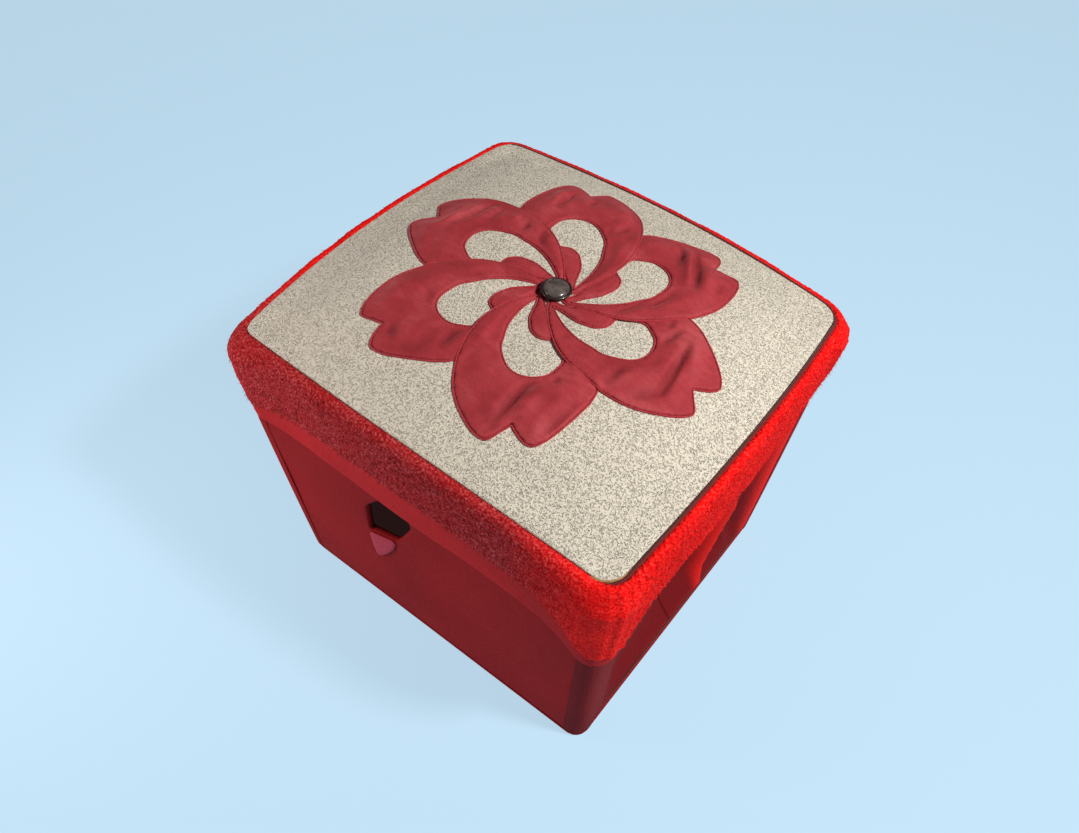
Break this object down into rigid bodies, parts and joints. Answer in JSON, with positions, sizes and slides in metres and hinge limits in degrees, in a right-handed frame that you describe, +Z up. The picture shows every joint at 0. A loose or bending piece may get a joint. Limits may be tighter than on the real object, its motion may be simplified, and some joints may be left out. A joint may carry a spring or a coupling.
{
  "type": "folding storage stool",
  "caption": "Cube-shaped fabric storage stool with a padded lift-off lid, flower applique, hand hole and sides that crease inward to fold flat.",
  "frame": {"origin": "on the floor, under the middle of the closed stool", "axes": "+Z up, -Y out of the front wall that has the hand hole, +X towards the right-hand folding side"},
  "size_m": [0.352, 0.326, 0.3165],
  "materials": {
    "cream_fabric": "pebbled woven fabric",
    "plush_fabric": "ribbed plush",
    "hem_fabric": "smooth woven fabric",
    "body_fabric": "fine woven fabric",
    "tab_fabric": "woven fabric",
    "petal_velour": "velour felt",
    "lining_fabric": "non-woven lining",
    "foam": "open-cell foam",
    "fibreboard": "raw fibreboard",
    "button_plastic": "polished",
    "rim_plastic": "polished",
    "cord_thread": "twisted thread",
    "washer_steel": "zinc plated"
  },
  "bodies": {
    "base_and_front": {"base_cover": "body_fabric", "base_board": "fibreboard", "base_lining": "lining_fabric", "front_cover": "body_fabric", "front_board": "fibreboard", "front_lining": "lining_fabric", "pull_tab": "tab_fabric"},
    "lid": {"lid_rail_front": "fibreboard", "lid_rail_back": "fibreboard", "lid_rail_left": "fibreboard", "lid_rail_right": "fibreboard", "lid_board": "fibreboard", "lid_lining": "lining_fabric", "lid_foam": "foam", "lid_top_cover": "cream_fabric", "lid_plush_band": "plush_fabric", "lid_smooth_band": "hem_fabric", "petal_1": "petal_velour", "petal_2": "petal_velour", "petal_3": "petal_velour", "petal_4": "petal_velour", "petal_5": "petal_velour", "petal_6": "petal_velour", "button_rim": "rim_plastic", "button_cap": "button_plastic", "tuft_cord": "cord_thread", "tuft_washer": "washer_steel"},
    "back_wall": {"back_cover": "body_fabric", "back_board": "fibreboard", "back_lining": "lining_fabric"},
    "right_front_half": {"right_front_cover": "body_fabric", "right_front_board": "fibreboard", "right_front_lining": "lining_fabric"},
    "right_back_half": {"right_back_cover": "body_fabric", "right_back_board": "fibreboard", "right_back_lining": "lining_fabric"},
    "left_front_half": {"left_front_cover": "body_fabric", "left_front_board": "fibreboard", "left_front_lining": "lining_fabric"},
    "left_back_half": {"left_back_cover": "body_fabric", "left_back_board": "fibreboard", "left_back_lining": "lining_fabric"}
  },
  "joints": [
    {"name": "lid_lift", "type": "slide", "parent": "base_and_front", "child": "lid", "axis": [0, 0, -1], "range_m": [-0.3, 0]},
    {"name": "right_fold", "type": "hinge", "parent": "base_and_front", "child": "right_front_half", "pos_m": [0.155, -0.1395, 0.132], "axis": [0, 0, 1], "range_deg": [0, 88]},
    {"name": "right_crease", "type": "hinge", "parent": "right_front_half", "child": "right_back_half", "pos_m": [0.16, 0, 0.132], "axis": [0, 0, 1], "range_deg": [-176, 0]},
    {"name": "back_hinge", "type": "hinge", "parent": "right_back_half", "child": "back_wall", "pos_m": [0.155, 0.1395, 0.132], "axis": [0, 0, 1], "range_deg": [0, 88]},
    {"name": "left_fold", "type": "hinge", "parent": "base_and_front", "child": "left_front_half", "pos_m": [-0.155, -0.1395, 0.132], "axis": [0, 0, 1], "range_deg": [-88, 0]},
    {"name": "left_crease", "type": "hinge", "parent": "left_front_half", "child": "left_back_half", "pos_m": [-0.16, 0, 0.132], "axis": [0, 0, 1], "range_deg": [0, 176]}
  ],
  "couplings": [
    {"joint": "right_crease", "follows": "right_fold", "ratio": -2},
    {"joint": "back_hinge", "follows": "right_fold", "ratio": 1},
    {"joint": "left_fold", "follows": "right_fold", "ratio": -1},
    {"joint": "left_crease", "follows": "right_fold", "ratio": 2}
  ]
}
